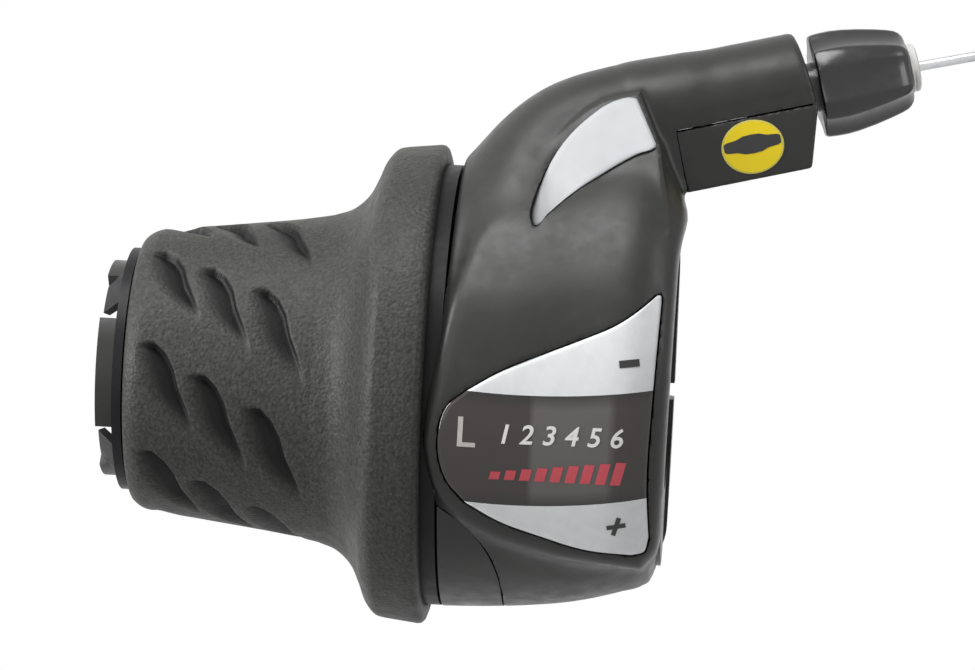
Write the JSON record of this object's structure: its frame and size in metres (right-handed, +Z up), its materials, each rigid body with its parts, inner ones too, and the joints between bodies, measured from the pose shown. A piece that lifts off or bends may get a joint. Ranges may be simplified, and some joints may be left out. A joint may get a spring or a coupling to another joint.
{
  "type": "twist grip shifter",
  "caption": "Handlebar twist grip shifter: ribbed rubber grip that turns on a clamped tube, round housing with a gear window, and an arched cable arm ending in a barrel adjuster.",
  "frame": {"origin": "on the handlebar axis, in the plane where the turning grip meets the housing", "axes": "+X along the handlebar towards the middle of the bicycle, -Y towards the rider's view of the window, +Z up"},
  "size_m": [0.1323, 0.0576, 0.0743],
  "materials": {
    "rubber": "fine leathery grain, matte",
    "sleeve_plastic": "matte",
    "housing_plastic": "fine spark grain, semi-matte",
    "smoked_lens": "gloss, silver print on the back",
    "printed_card": "printed",
    "silver_label": "satin silver foil",
    "yellow_label": "printed film",
    "spring_steel": "satin",
    "zinc_steel": "zinc plated",
    "drum_plastic": "natural nylon",
    "friction_plastic": "fibre filled",
    "adjuster_plastic": "semi-gloss",
    "white_nylon": "satin",
    "wire_steel": "stranded wire",
    "guide_plastic": "slippery liner",
    "seal_rubber": "smooth",
    "collar_plastic": "matte"
  },
  "bodies": {
    "housing": {"adjuster_ring": "seal_rubber", "cable_coil": "wire_steel", "cable_guide": "guide_plastic", "cable_tail": "wire_steel", "clamp_bolt": "zinc_steel", "clamp_nut": "zinc_steel", "coil_tie": "white_nylon", "cover_screws": "zinc_steel", "disc_spring": "spring_steel", "hood": "housing_plastic", "hood_label": "silver_label", "indicator_card": "printed_card", "main_bracket": "housing_plastic", "nose_cover": "housing_plastic", "nose_cover_screw": "zinc_steel", "pressure_plate": "spring_steel", "retaining_clip": "spring_steel", "retaining_collar": "collar_plastic", "round_sticker": "yellow_label", "shift_cable": "wire_steel", "window_lens": "smoked_lens"},
    "grip": {"grip_rubber": "rubber", "grip_sleeve": "sleeve_plastic", "cable_drum": "drum_plastic", "cable_nipple": "wire_steel", "friction_disc": "friction_plastic"},
    "casing": {"casing_seat": "white_nylon"},
    "adjuster": {"adjuster_barrel": "adjuster_plastic"}
  },
  "joints": [
    {"name": "grip_twist", "type": "hinge", "parent": "housing", "child": "grip", "pos_m": [0, 0, 0], "axis": [1, 0, 0], "range_deg": [0, 100]},
    {"name": "adjuster_travel", "type": "slide", "parent": "housing", "child": "casing", "axis": [0.9666, 0.0846, 0.2419], "range_m": [-0.0008, 0.0032]},
    {"name": "adjuster_turn", "type": "hinge", "parent": "casing", "child": "adjuster", "pos_m": [0.04099, -0.00038, 0.03766], "axis": [0.9666, 0.0846, 0.2419], "range_deg": [-360, 1440]}
  ],
  "couplings": [
    {"joint": "adjuster_turn", "follows": "adjuster_travel", "rad_per_m": 7854}
  ]
}
